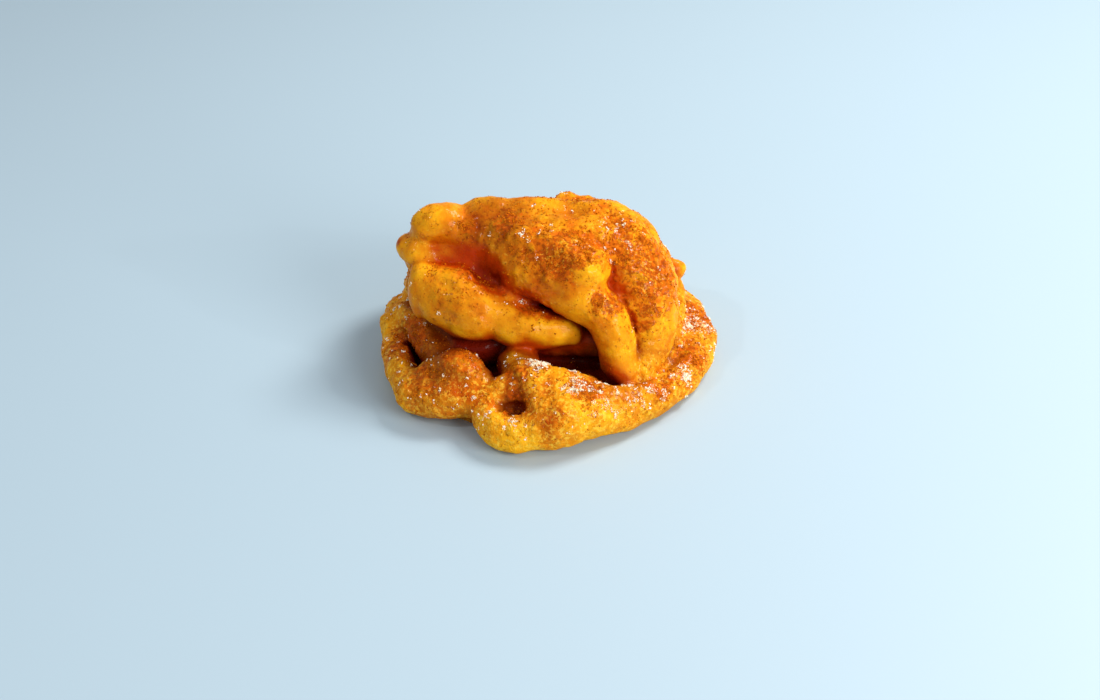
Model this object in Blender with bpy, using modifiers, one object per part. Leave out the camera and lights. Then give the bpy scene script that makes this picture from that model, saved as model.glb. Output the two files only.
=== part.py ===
# Funnel cake: ropes of batter fried into one small nest. A ring of strands lies on the table, a
# fat roll arches over it from left to right, and loops and fingers hang down at the front.
import math

import bmesh
import bpy
from mathutils import Vector, noise

# Lengths here are millimetres; the mesh is scaled to metres once it is whole.
MM = 0.001
CAKE_NAME = "funnel_cake"

# Base ring: an oval of batter, thick at the front and back and thin down the left.
RING_HALF_WIDTH = 42.8
RING_HALF_DEPTH = 35.5
RING_MIDDLE_Y = 1.5
RING_SINK = 0.3
# Bearing in degrees (0 is +X, 90 is +Y) and the ring's radius there.
RING_THICKNESS = (
    (-86, 8.0), (-76, 7.8), (-65, 6.4), (-52, 5.2), (-38, 4.9), (-15, 5.2), (10, 6.0),
    (45, 7.0), (80, 7.4), (115, 7.2), (145, 6.4), (165, 5.2), (188, 4.3), (205, 5.0),
)

# Solid crumb inside the pile, which the strands are fused to.
# Each lump of crumb is its middle and its half sizes.
CORE_LUMPS = (
    ((-1.0, 12.0, 14.0), (31.0, 17.0, 21.0)),
    ((16.0, 2.0, 14.0), (15.5, 11.0, 15.0)),
    ((-22.0, 5.0, 12.0), (15.0, 12.0, 12.0)),
    ((-1.0, 2.0, 0.0), (40.0, 33.0, 5.5)),
    ((-10.5, -28.5, 1.5), (5.5, 5.5, 5.5)),
)

# Uneven rise of the batter in the oil.
LUMP_HEIGHT = 0.9
LUMP_SPACING = 9.0

# How finely the strands are rounded before they fuse.
STEPS_PER_SPAN = 8
QUARTER_TURN_STEPS = 4
BALL_SUBDIVISIONS = 4

# Fusing: the finest detail kept, and how far the creases between the ropes round off.
VOXEL = 0.9
CREASE_SMOOTHING_STEPS = 4
SMOOTHING_SHARE = 0.5
CLOSE_POINTS = 0.0001
TRIANGLE_LIMIT = 9600

DOUGH_COLOUR = (0.80, 0.36, 0.055, 1.0)
DOUGH_ROUGHNESS = 0.42


def clear_scene():
    for thing in list(bpy.data.objects):
        bpy.data.objects.remove(thing, do_unlink=True)


def ring_point(bearing, radius):
    angle = math.radians(bearing)
    x = RING_HALF_WIDTH * math.cos(angle)
    y = RING_MIDDLE_Y + RING_HALF_DEPTH * math.sin(angle)
    return (x, y, radius - RING_SINK, radius)


# Each strand is a route of (x, y, z, radius) points down the middle of the rope.
def base_ring():
    rim = [ring_point(bearing, radius) for bearing, radius in RING_THICKNESS]
    apron = [(39, 10, 7, 6), (35.5, -8, 5.5, 5.2), (27, -19, 5, 4.6)]
    inner = [(-24, -6, 11, 6), (-10, -4, 12, 6), (4, -4, 12.5, 6), (18, -7, 12.5, 6), (29, -10, 10, 5.5)]
    return [rim, apron, inner]


def front_curl():
    loop = [
        (4, -36, 8, 7.4), (-3, -38, 6.5, 5.8), (-10, -38.2, 5, 4.8), (-14.8, -35, 5, 4.7),
        (-16.6, -30.5, 6.5, 4.8), (-15, -27, 8.5, 5), (-7, -25.5, 11.5, 5.4),
    ]
    back = [(13.5, -28.5, 6.5, 5), (9, -28.5, 9, 6), (3, -29, 11, 6.8), (-2, -28.5, 11, 6.6)]
    crown = [(7.5, -27, 9.5, 5), (2, -27.5, 11, 5.6), (-3.5, -26, 13, 5.8), (-6.5, -23.5, 13.5, 5.2)]
    belly = [(10.5, -33.5, 8, 7.4), (5.5, -33.5, 8.5, 7.6), (0, -34, 8, 7.2)]
    stub = [(-7, -24, 11, 5.8), (-7.5, -20.5, 11.5, 6), (-8, -14, 10.5, 6)]
    return [loop, back, crown, belly, stub]


def left_strands():
    slab = [(-17, -26.2, 8, 5.6), (-21.5, -24, 8, 6.4), (-28, -22.5, 8, 7), (-36.6, -20, 6, 5.5)]
    hump = [(-33, -16, 9.2, 5), (-28, -17, 11, 5.8), (-23.5, -19.5, 13.4, 6), (-19.5, -21.5, 11, 4.8)]
    edge = [(-37.2, -18.5, 6.5, 4.8), (-41, -10.5, 7.2, 4.7), (-43.3, 0, 6.5, 4.2), (-43.5, 12, 8.5, 4.8)]
    inner = [(-42, 18, 9, 5.4), (-39, 10, 10.5, 6), (-34, 3, 12, 5.8), (-29.5, -9, 9.5, 5.2)]
    riser = [(-37, 19, 14, 5), (-34.6, 17, 22, 5), (-33.4, 14, 30, 5)]
    return [slab, hump, edge, inner, riser]


def front_finger():
    finger = [
        (-30, -1.5, 28.3, 7.2), (-26.5, -4, 27, 8.6), (-22, -6, 25.5, 9.1), (-17, -6.8, 24.2, 8.1),
        (-13, -7, 23.4, 6.5), (-8.5, -8.4, 20.8, 7.1), (-2, -9.2, 19.2, 6.6), (6.3, -9, 17.8, 4.3),
    ]
    finger_top = [(-29.8, -0.5, 31, 5.2), (-25, -2.5, 29.6, 6.4)]
    return [finger, finger_top]


def top_roll():
    knob = [(-30.6, 10, 42, 6.3), (-28, 10, 43, 7), (-24.5, 11, 41.2, 6.4)]
    crest = [
        (-28, 11, 41, 6.4), (-21, 12, 38.8, 6.3), (-15, 12, 42, 7.2), (-8.5, 12, 40.8, 6.8),
        (-3, 12, 41, 7.6), (8, 11.5, 39.5, 7.4), (19, 10, 39, 7.6), (24.7, 8, 36, 7.5),
        (28.5, 5, 30.5, 7.3), (31, -1, 24.5, 7.2), (30.5, -9, 17.5, 6.4), (25.5, -19, 8.5, 3.8),
    ]
    belly = [(-30, 10, 36, 5.4), (-22.5, 9.5, 34.5, 6.6), (-14.5, 8.5, 34, 6.8)]
    lip = [
        (-34, 10.5, 32, 5.6), (-27, 8.2, 31.8, 6.6), (-18.5, 6.6, 31.2, 7), (-9.5, 3.6, 29.5, 7.4),
        (-3, 1, 27, 6.8),
    ]
    saddle = [
        (-18.5, 9, 39.5, 7), (-10, 8, 40, 7.4), (-1.5, 6, 40, 7.8), (6.5, 3, 40, 7.6),
        (16, 2, 38, 7.4), (22.5, -1, 34, 7.2), (26.5, -6, 28, 7), (28.3, -10, 22, 6.1),
        (28, -14, 15.5, 5),
    ]
    web = [
        (13.5, 4, 39, 7.5), (19.5, 2, 35, 7.5), (24, -3, 30, 7.4), (27, -7.5, 24.5, 6.5),
        (28.3, -11, 18.5, 5.4),
    ]
    swell = [(22.2, 4.5, 37.6, 7.2), (26.9, 1, 32.5, 7.3), (30.2, -5, 26, 7), (30, -10, 19.5, 6)]
    fillet = [(15, 0, 33, 6.4), (20, -3.5, 30, 6), (23, -8, 24, 5.4)]
    flank = [(34, -4, 10, 5.5), (34.5, 4, 14, 5.8), (33, 12, 20, 6), (27, 16, 29, 6)]
    cheek = [(-37.2, 9.6, 36.2, 4.5), (-34, 7.4, 36.2, 5.4), (-29, 8, 34.8, 5.4)]
    return [knob, crest, belly, lip, saddle, web, swell, fillet, flank, cheek]


def front_drape():
    brow = [
        (-14.5, 8, 39.5, 7.4), (-7.5, 4, 39, 8.4), (-1, 0, 38.8, 8.6), (5.5, -4, 38, 7.9),
        (11.5, -7.4, 36.9, 7.1),
    ]
    jowl = [(-10, 5, 35.5, 7.2), (-3, -2, 36, 8.2), (4, -6.5, 35, 7.6), (9, -8.5, 33, 6.6)]
    drape = [
        (-6, 0, 32.5, 7.4), (0.5, -5, 33, 7.6), (6, -8, 31.5, 7), (11.5, -11, 29, 6.4),
        (16, -14, 25.5, 6), (18.5, -17, 20, 5.5), (19.5, -19, 14, 5.1), (21, -21, 9, 4),
    ]
    return [brow, jowl, drape]


def back_folds():
    left = [(-31, 15, 37, 6), (-33, 23, 30, 6.2), (-33, 31, 21, 6.4), (-28, 36, 11, 6)]
    loop = [
        (-17, 16, 38, 6.4), (-21, 24, 33, 6.4), (-20, 32, 26, 6.6), (-12, 37, 18, 6.4),
        (0, 38.5, 10, 6.2),
    ]
    middle = [(9, 18, 37, 5.6), (7, 26, 30.5, 6.4), (10, 33, 22, 6.8), (18, 36, 12, 6.6)]
    right = [(24, 14, 33, 6), (31, 20, 22, 6.2), (34, 24, 12, 6.2)]
    belt = [
        (-34.4, 22, 20, 6), (-22, 28, 23, 6.8), (-6, 27, 26, 7.2), (12, 25, 24, 7.2),
        (28, 19, 20, 6.4),
    ]
    low_belt = [
        (-36, 26, 12, 6), (-20, 35, 12, 6.8), (4, 36, 14, 7), (24, 31, 11, 6.8), (36, 18, 10, 6.2),
    ]
    bump = [(8, 18, 42.5, 3.8), (14.5, 18, 41.3, 3.5)]
    side_knob = [(29, 13, 22, 6.6), (34.6, 12.4, 23.2, 5.1), (38.7, 12, 23.8, 3)]
    return [left, loop, middle, right, belt, low_belt, bump, side_knob]


def add_strand(curve, route):
    spline = curve.splines.new("BEZIER")
    spline.bezier_points.add(len(route) - 1)
    spline.resolution_u = STEPS_PER_SPAN
    spline.radius_interpolation = "BSPLINE"
    for point, (x, y, z, radius) in zip(spline.bezier_points, route):
        point.co = (x, y, z)
        point.radius = radius
        point.handle_left_type = "AUTO"
        point.handle_right_type = "AUTO"


def tubes_from(routes):
    curve = bpy.data.curves.new("strand_routes", "CURVE")
    curve.dimensions = "3D"
    curve.bevel_depth = 1.0
    curve.bevel_resolution = QUARTER_TURN_STEPS
    curve.use_fill_caps = True
    for route in routes:
        add_strand(curve, route)
    holder = bpy.data.objects.new("strand_routes", curve)
    bpy.context.scene.collection.objects.link(holder)
    bpy.context.view_layer.update()
    depsgraph = bpy.context.evaluated_depsgraph_get()
    mesh = bpy.data.meshes.new_from_object(holder.evaluated_get(depsgraph))
    bpy.data.objects.remove(holder)
    bpy.data.curves.remove(curve)
    return mesh


def add_ball(bm, middle, half_size):
    made = bmesh.ops.create_icosphere(bm, subdivisions=BALL_SUBDIVISIONS, radius=1.0)
    for vert in made["verts"]:
        for axis in range(3):
            vert.co[axis] = middle[axis] + vert.co[axis] * half_size[axis]


def raw_pile(routes):
    tubes = tubes_from(routes)
    bm = bmesh.new()
    bm.from_mesh(tubes)
    bmesh.ops.remove_doubles(bm, verts=bm.verts, dist=CLOSE_POINTS)
    for route in routes:
        for x, y, z, radius in (route[0], route[-1]):
            add_ball(bm, (x, y, z), (radius, radius, radius))
    for middle, half_size in CORE_LUMPS:
        add_ball(bm, middle, half_size)
    bm.to_mesh(tubes)
    bm.free()
    pile = bpy.data.objects.new(CAKE_NAME, tubes)
    bpy.context.scene.collection.objects.link(pile)
    return pile


def bake_modifiers(thing):
    bpy.context.view_layer.update()
    depsgraph = bpy.context.evaluated_depsgraph_get()
    baked = bpy.data.meshes.new_from_object(thing.evaluated_get(depsgraph))
    thing.modifiers.clear()
    thing.data = baked


def fuse(pile):
    remesh = pile.modifiers.new("fuse", "REMESH")
    remesh.mode = "VOXEL"
    remesh.voxel_size = VOXEL
    smooth = pile.modifiers.new("soften", "SMOOTH")
    smooth.iterations = CREASE_SMOOTHING_STEPS
    smooth.factor = SMOOTHING_SHARE
    bake_modifiers(pile)


def raise_lumps(pile):
    mesh = pile.data
    moved = []
    for vert in mesh.vertices:
        rise = LUMP_HEIGHT * noise.noise(vert.co / LUMP_SPACING)
        moved.append(vert.co + vert.normal * rise)
    for vert, place in zip(mesh.vertices, moved):
        vert.co = place


def largest_shell(bm):
    # Sealed bubbles inside the pile are separate shells; only the outside one is kept.
    unseen = set(bm.verts)
    best = set()
    while unseen:
        start = unseen.pop()
        shell = {start}
        edge_of_search = [start]
        while edge_of_search:
            vert = edge_of_search.pop()
            for edge in vert.link_edges:
                other = edge.other_vert(vert)
                if other in unseen:
                    unseen.remove(other)
                    shell.add(other)
                    edge_of_search.append(other)
        if len(shell) > len(best):
            best = shell
    return best


def drop_bubbles(pile):
    bm = bmesh.new()
    bm.from_mesh(pile.data)
    outside = largest_shell(bm)
    bubbles = [vert for vert in bm.verts if vert not in outside]
    bmesh.ops.delete(bm, geom=bubbles, context="VERTS")
    bm.to_mesh(pile.data)
    bm.free()


def thin_out(pile):
    pile.data.calc_loop_triangles()
    triangles = len(pile.data.loop_triangles)
    decimate = pile.modifiers.new("thin", "DECIMATE")
    decimate.ratio = min(1.0, TRIANGLE_LIMIT / triangles)
    bake_modifiers(pile)


def cut_flat_base(pile):
    bm = bmesh.new()
    bm.from_mesh(pile.data)
    geometry = bm.verts[:] + bm.edges[:] + bm.faces[:]
    cut = bmesh.ops.bisect_plane(
        bm, geom=geometry, dist=CLOSE_POINTS, plane_co=(0, 0, 0), plane_no=(0, 0, 1), clear_inner=True
    )
    rim = [item for item in cut["geom_cut"] if isinstance(item, bmesh.types.BMEdge)]
    bmesh.ops.triangle_fill(bm, edges=rim, use_beauty=True, normal=(0, 0, -1))
    bmesh.ops.recalc_face_normals(bm, faces=bm.faces[:])
    bm.to_mesh(pile.data)
    bm.free()


def centre_and_scale(pile):
    corners = [Vector(corner) for corner in pile.bound_box]
    low = Vector([min(corner[axis] for corner in corners) for axis in range(3)])
    high = Vector([max(corner[axis] for corner in corners) for axis in range(3)])
    middle = (low + high) / 2
    base = Vector((middle.x, middle.y, low.z))
    for vert in pile.data.vertices:
        vert.co = (vert.co - base) * MM
    print("size mm", [round(side, 2) for side in high - low], "moved by", [round(c, 2) for c in base])


def dough():
    material = bpy.data.materials.new("fried_dough")
    material.use_nodes = True
    shader = material.node_tree.nodes["Principled BSDF"]
    shader.inputs["Base Color"].default_value = DOUGH_COLOUR
    shader.inputs["Roughness"].default_value = DOUGH_ROUGHNESS
    shader.inputs["Metallic"].default_value = 0.0
    return material


def build():
    clear_scene()
    routes = base_ring() + front_curl() + left_strands() + front_finger() + top_roll()
    routes += front_drape() + back_folds()
    pile = raw_pile(routes)
    fuse(pile)
    raise_lumps(pile)
    drop_bubbles(pile)
    thin_out(pile)
    cut_flat_base(pile)
    bpy.context.view_layer.update()
    centre_and_scale(pile)
    pile.data.materials.clear()
    pile.data.materials.append(dough())
    collection = bpy.data.collections.new("FunnelCake")
    bpy.context.scene.collection.children.link(collection)
    bpy.context.scene.collection.objects.unlink(pile)
    collection.objects.link(pile)


build()
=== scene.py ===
import math

import bmesh
import bpy
import numpy as np
from mathutils import Matrix, Vector, noise
from mathutils.bvhtree import BVHTree


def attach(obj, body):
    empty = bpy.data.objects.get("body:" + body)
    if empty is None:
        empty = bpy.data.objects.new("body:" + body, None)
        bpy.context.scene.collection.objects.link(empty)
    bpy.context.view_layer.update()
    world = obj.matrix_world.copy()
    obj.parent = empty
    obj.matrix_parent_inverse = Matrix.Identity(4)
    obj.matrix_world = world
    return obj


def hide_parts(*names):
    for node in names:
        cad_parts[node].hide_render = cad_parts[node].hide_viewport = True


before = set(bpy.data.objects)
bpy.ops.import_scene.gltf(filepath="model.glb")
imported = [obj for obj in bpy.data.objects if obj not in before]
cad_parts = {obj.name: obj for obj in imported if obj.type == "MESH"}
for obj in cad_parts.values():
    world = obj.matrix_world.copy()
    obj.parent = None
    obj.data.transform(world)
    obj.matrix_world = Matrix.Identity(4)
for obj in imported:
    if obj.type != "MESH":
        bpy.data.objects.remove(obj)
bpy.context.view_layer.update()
scene = bpy.context.scene

mm = 0.001
pileShift = Vector((-0.26, -0.46, 0))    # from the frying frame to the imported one, in mm

# strands of batter: (x, y, z, radius) down the middle of each rope, in mm

baseRing = {
    "halfWidth": 42.8, "halfDepth": 35.5, "middleY": 1.5, "sink": 0.3,
    # bearing in degrees (0 is +X, 90 is +Y) and the rope's radius there
    "thickness": [(-86, 8.0), (-76, 7.8), (-65, 6.4), (-52, 5.2), (-38, 4.9), (-15, 5.2), (10, 6.0),
                  (45, 7.0), (80, 7.4), (115, 7.2), (145, 6.4), (165, 5.2), (188, 4.3), (205, 5.0)],
    "apron": [(39, 10, 7, 6.0), (35.5, -8, 5.5, 5.2), (27, -19, 5, 4.6)],
    "inner": [(-24, -6, 11, 6.0), (-10, -4, 12, 6.0), (4, -4, 12.5, 6.0), (18, -7, 12.5, 6.0),
              (29, -10, 10, 5.5)],
    "soften": 6,
}

crumbCore = {                            # middle and half sizes of each lump
    "lumps": [((-1, 12, 14), (31, 17, 21)), ((16, 2, 14), (15.5, 11, 15)), ((-22, 5, 12), (15, 12, 12)),
              ((-1, 2, 0), (40, 33, 5.5)), ((-10.2, -28.7, 3.4), (6.0, 6.0, 6.0))],
}

frontCurl = {
    "loop": [(4, -36, 8, 7.4), (-3, -38, 6.5, 5.8), (-10, -38.2, 5, 4.8), (-14.8, -35, 5, 4.7),
             (-16.6, -30.5, 6.5, 4.8), (-15, -27, 8.5, 5.0), (-7, -25.5, 11.5, 5.4)],
    "back": [(13.5, -28.5, 6.5, 5.0), (9, -28.5, 9, 6.0), (3, -29, 11, 6.8), (-2, -28.5, 11, 6.6)],
    "crown": [(7.5, -27, 9.5, 5.0), (2, -27.5, 11, 5.6), (-3.5, -26, 13, 5.8), (-6.5, -23.5, 13.5, 5.2)],
    "belly": [(10.5, -33.5, 8, 7.4), (5.5, -33.5, 8.5, 7.6), (0, -34, 8, 7.2)],
    "stub": [(-7, -24, 11, 5.8), (-7.5, -20.5, 11.5, 6.0), (-8, -14, 10.5, 6.0)],
    "soften": 4,
}

leftStrands = {
    "slab": [(-17, -26.2, 8, 5.6), (-21.5, -24, 8, 6.4), (-28, -22.5, 8, 7.0), (-36.6, -20, 6, 5.5)],
    "hump": [(-33, -16, 9.2, 5.0), (-28, -17, 11, 5.8), (-23.5, -19.5, 13.4, 6.0), (-19.5, -21.5, 11, 4.8)],
    "edge": [(-37.2, -18.5, 6.5, 4.8), (-41, -10.5, 7.2, 4.7), (-43.3, 0, 6.5, 4.2), (-43.5, 12, 8.5, 4.8)],
    "soften": 4,
}

innerLeft = {
    "inner": [(-42, 18, 9, 5.4), (-39, 10, 10.5, 6.0), (-34, 3, 12, 5.8), (-29.5, -9, 9.5, 5.2)],
    "riser": [(-37, 19, 14, 5.0), (-34.6, 17, 22, 5.0), (-33.4, 14, 30, 5.0)],
    "soften": 8,
}

frontFinger = {
    "finger": [(-31, -1.2, 28.3, 7.3), (-26.5, -4, 27, 8.6), (-22, -6, 25.5, 9.1), (-17, -6.8, 24.2, 8.1),
               (-13, -7, 23.4, 6.5), (-8.5, -8.4, 20.8, 7.1), (-2, -9.2, 19.2, 6.6), (6.3, -9, 17.8, 4.3)],
    "fingerTop": [(-33, 0.4, 32.6, 4.4), (-28.5, -1.4, 31, 5.2), (-23.5, -3, 29.4, 6.4)],
    "fingerEnd": [(-33.4, 0, 33, 3.7), (-33.9, -1.4, 28.5, 4.3), (-32.8, -2.6, 24, 4.3)],
    "soften": 5,
}

topRoll = {
    "knob": [(-30.6, 10, 42, 6.3), (-28, 10, 43, 7.0), (-24.5, 11, 41.2, 6.4)],
    "crest": [(-28, 11, 41, 6.4), (-21, 12, 38.8, 6.3), (-15, 12, 42, 7.2), (-8.5, 12, 40.8, 6.8),
              (-3, 12, 41, 7.6), (8, 11.5, 39.5, 7.4), (19, 10, 39, 7.6), (24.7, 8, 36, 7.5),
              (28.5, 5, 30.5, 7.3), (31, -1, 24.5, 7.2), (30.5, -9, 17.5, 6.4), (25.5, -19, 8.5, 3.8)],
    "belly": [(-30, 10, 36, 5.4), (-22.5, 9.5, 34.5, 6.6), (-14.5, 8.5, 34, 6.8)],
    "lip": [(-34, 10.5, 32, 5.6), (-27, 8.2, 31.8, 6.6), (-18.5, 6.6, 31.2, 7.0), (-9.5, 3.6, 29.5, 7.4),
            (-3, 1, 27, 6.8)],
    "saddle": [(-18.5, 9, 39.5, 7.0), (-10, 8, 40, 7.4), (-1.5, 6, 40, 7.8), (6.5, 3, 40, 7.6),
               (16, 2, 38, 7.4), (22.5, -1, 34, 7.2), (26.5, -6, 28, 7.0), (28.3, -10, 22, 6.1),
               (28, -14, 15.5, 5.0)],
    "web": [(13.5, 4, 39, 7.5), (19.5, 2, 35, 7.5), (24, -3, 30, 7.4), (27, -7.5, 24.5, 6.5),
            (28.3, -11, 18.5, 5.4)],
    "swell": [(22.2, 4.5, 37.6, 7.2), (26.9, 1, 32.5, 7.3), (30.2, -5, 26, 7.0), (30, -10, 19.5, 6.0)],
    "fillet": [(15, 0, 33, 6.4), (20, -3.5, 30, 6.0), (23, -8, 24, 5.4)],
    "flank": [(34, -4, 10, 5.5), (34.5, 4, 14, 5.8), (33, 12, 20, 6.0), (27, 16, 29, 6.0)],
    "soften": 8,
}

leftCheek = {
    "cheek": [(-37.2, 9.6, 36.2, 4.5), (-34, 7.4, 36.2, 5.4), (-29, 8, 35.2, 5.4), (-23, 8.7, 34.6, 5.9),
              (-17, 9, 34, 6.0)],
    "soften": 5,
}

frontDrape = {
    "brow": [(-14.5, 8, 39.5, 7.4), (-7.5, 4, 39, 8.4), (-1, 0, 38.8, 8.6), (5.5, -4, 38, 7.9),
             (11.5, -7.4, 36.9, 7.1)],
    "jowl": [(-10, 5, 35.5, 7.2), (-3, -2, 36, 8.2), (4, -6.5, 35, 7.6), (9, -8.5, 33, 6.6)],
    "drape": [(-6, 0, 32.5, 7.4), (0.5, -5, 33, 7.6), (6, -8, 31.5, 7.0), (11.5, -11, 29, 6.4),
              (16, -14, 25.5, 6.0), (18.5, -17, 20, 5.5), (19.5, -19, 14, 5.1), (21, -21, 9, 4.0)],
    "soften": 5,
}

backFolds = {
    "left": [(-31, 15, 37, 6.0), (-33, 23, 30, 6.2), (-33, 31, 21, 6.4), (-28, 36, 11, 6.0)],
    "loop": [(-17, 16, 38, 6.4), (-21, 24, 33, 6.4), (-20, 32, 26, 6.6), (-12, 37, 18, 6.4),
             (0, 38.5, 10, 6.2)],
    "middle": [(9, 18, 37, 5.6), (7, 26, 30.5, 6.4), (10, 33, 22, 6.8), (18, 36, 12, 6.6)],
    "right": [(24, 14, 33, 6.0), (31, 20, 22, 6.2), (34, 24, 12, 6.2)],
    "belt": [(-34.4, 22, 20, 6.0), (-22, 28, 23, 6.8), (-6, 27, 26, 7.2), (12, 25, 24, 7.2),
             (28, 19, 20, 6.4)],
    "lowBelt": [(-36, 26, 12, 6.0), (-20, 35, 12, 6.8), (4, 36, 14, 7.0), (24, 31, 11, 6.8),
                (36, 18, 10, 6.2)],
    "bump": [(8, 18, 42.5, 3.8), (14.5, 18, 41.3, 3.5)],
    "sideKnob": [(29, 13, 22, 6.6), (34.8, 12.4, 22.9, 5.2), (38.2, 12, 23.0, 2.9)],
    "soften": 6,
}

batter = {
    "ropeVoxel": 0.8,                    # mm, each rope group on its own
    "skinVoxel": 0.56,                   # mm, the whole cake
    "creaseSoften": 1,                   # passes over the whole, which round the creases a little
    # creases that closed up in the oil: middle and radius in mm, and how fully
    "melted": [((-22, 4, 36), 8, 0.8), ((-16.5, 2, 34.5), 9.5, 1.0), ((-11, -3.5, 33.5), 9.5, 1.0),
               ((-5, -8, 31), 8, 0.9), ((-13.5, -8.5, 30.5), 4.5, 0.6), ((-8, -10.5, 28), 5, 0.7),
               ((-1, -13, 25), 5, 0.7), ((4.5, -13, 22.5), 4, 0.5)],
    "meltPasses": 110, "meltShare": 1.5, "meltLeast": 0.02,
    "rise": [(9.0, 0.95), (4.2, 0.40), (2.1, 0.16)],    # lump spacing and height, in mm
    "sandy": [(2.6, 0.30), (1.4, 0.22)],                # only on the rough low ropes
    "blisters": [(3.1, 0.52), (1.4, 0.44)],             # where the dusting lies thick
    "sandyBelow": (24, 15),              # height in mm where the sand starts, and where it is full
    # smooth ropes that hang down into the sandy height: middle and radius in mm, and how smooth
    "smooth": [((-12, -10, 20), 12, 1.6), ((0, -12, 18), 12, 1.6), ((7, -11, 17), 10, 1.6),
               ((16, -18, 20), 9, 1.4), ((20, -22, 13), 8, 1.2), ((29, -14, 16), 9, 1.0)],
    "calmNearTable": (0.5, 6, 0.85),     # heights in mm, and how much of the sand the table pressed flat
    "blisterShare": 0.7,
    "ropeSides": 5, "ropeSteps": 8, "ballSubdivisions": 4,
    "softenFactor": 0.5,
    "weld": 0.0001,                      # mm
    "triangles": 198000,
}


def ringRoute():
    route = []
    for bearing, radius in baseRing["thickness"]:
        turn = math.radians(bearing)
        x = baseRing["halfWidth"] * math.cos(turn)
        y = baseRing["middleY"] + baseRing["halfDepth"] * math.sin(turn)
        route.append((x, y, radius - baseRing["sink"], radius))
    return route


def routesOf(group):
    return [route for route in group.values() if isinstance(route, list) and len(route[0]) == 4]


def evaluatedMesh(thing):
    bpy.context.view_layer.update()
    depsgraph = bpy.context.evaluated_depsgraph_get()
    return bpy.data.meshes.new_from_object(thing.evaluated_get(depsgraph))


def ropesToMesh(routes):
    curve = bpy.data.curves.new("ropes", "CURVE")
    curve.dimensions = "3D"
    curve.bevel_depth = 1.0
    curve.bevel_resolution = batter["ropeSides"]
    curve.use_fill_caps = True
    for route in routes:
        spline = curve.splines.new("BEZIER")
        spline.bezier_points.add(len(route) - 1)
        spline.resolution_u = batter["ropeSteps"]
        spline.radius_interpolation = "BSPLINE"
        for point, (x, y, z, radius) in zip(spline.bezier_points, route):
            point.co = (x, y, z)
            point.radius = radius
            point.handle_left_type = point.handle_right_type = "AUTO"
    holder = bpy.data.objects.new("ropes", curve)
    scene.collection.objects.link(holder)
    mesh = evaluatedMesh(holder)
    bpy.data.objects.remove(holder)
    bpy.data.curves.remove(curve)
    return mesh


def addBall(bm, middle, half):
    for vert in bmesh.ops.create_icosphere(bm, subdivisions=batter["ballSubdivisions"], radius=1.0)["verts"]:
        vert.co = [middle[axis] + vert.co[axis] * half[axis] for axis in range(3)]


def remeshed(thing, voxel, soften):
    # one closed skin round everything in the mesh
    remesh = thing.modifiers.new("fuse", "REMESH")
    remesh.mode = "VOXEL"
    remesh.voxel_size = voxel
    if soften:
        smooth = thing.modifiers.new("soften", "SMOOTH")
        smooth.factor = batter["softenFactor"]
        smooth.iterations = soften
    mesh = evaluatedMesh(thing)
    thing.modifiers.clear()
    thing.data = mesh
    return thing


def fryGroup(name, routes, lumps, soften):
    mesh = ropesToMesh(routes)
    bm = bmesh.new()
    bm.from_mesh(mesh)
    bmesh.ops.remove_doubles(bm, verts=bm.verts, dist=batter["weld"])
    for route in routes:
        for x, y, z, radius in (route[0], route[-1]):
            addBall(bm, (x, y, z), (radius,) * 3)
    for middle, half in lumps:
        addBall(bm, middle, half)
    bm.to_mesh(mesh)
    bm.free()
    thing = bpy.data.objects.new(name, mesh)
    scene.collection.objects.link(thing)
    return remeshed(thing, batter["ropeVoxel"], soften)


def outsideOnly(bm):
    # bubbles sealed inside the crumb are shells of their own, and go
    unseen, largest = set(bm.verts), set()
    while unseen:
        start = unseen.pop()
        shell, edge = {start}, [start]
        while edge:
            for side in edge.pop().link_edges:
                for vert in side.verts:
                    if vert in unseen:
                        unseen.remove(vert)
                        shell.add(vert)
                        edge.append(vert)
        if len(shell) > len(largest):
            largest = shell
    bmesh.ops.delete(bm, geom=[vert for vert in bm.verts if vert not in largest], context="VERTS")


def cutBase(bm):
    cut = bmesh.ops.bisect_plane(bm, geom=bm.verts[:] + bm.edges[:] + bm.faces[:], dist=batter["weld"],
                                 plane_co=(0, 0, 0), plane_no=(0, 0, 1), clear_inner=True)
    rim = [item for item in cut["geom_cut"] if isinstance(item, bmesh.types.BMEdge)]
    bmesh.ops.triangle_fill(bm, edges=rim, use_beauty=True, normal=(0, 0, -1))
    bmesh.ops.recalc_face_normals(bm, faces=bm.faces[:])


def smoothStep(value, low, high):
    t = np.clip((value - low) / (high - low), 0, 1)
    return t * t * (3 - 2 * t)


def lumpField(places, layers):
    total = np.zeros(len(places))
    for spacing, height in layers:
        total += height * np.array([noise.noise(place / spacing) for place in places])
    return total


def sandinessAt(points):
    start, full = batter["sandyBelow"]
    smooth = np.clip(spotWeights(points * mm, batter["smooth"])[1], 0, 1)
    return (1 - smoothStep(points[:, 2], full, start)) * (1 - smooth)


def meltCreases(cake):
    points = skinPoints(cake.data)[0]
    amounts = np.clip(spotWeights(points * mm, batter["melted"])[1] * batter["meltShare"], 0, 1)
    chosen = cake.vertex_groups.new(name="melted")
    for index in np.flatnonzero(amounts > batter["meltLeast"]).tolist():
        chosen.add([index], float(amounts[index]), "REPLACE")
    melt = cake.modifiers.new("melt", "SMOOTH")
    melt.factor = batter["softenFactor"]
    melt.iterations = batter["meltPasses"]
    melt.vertex_group = chosen.name
    cake.data = evaluatedMesh(cake)
    cake.modifiers.clear()


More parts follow.
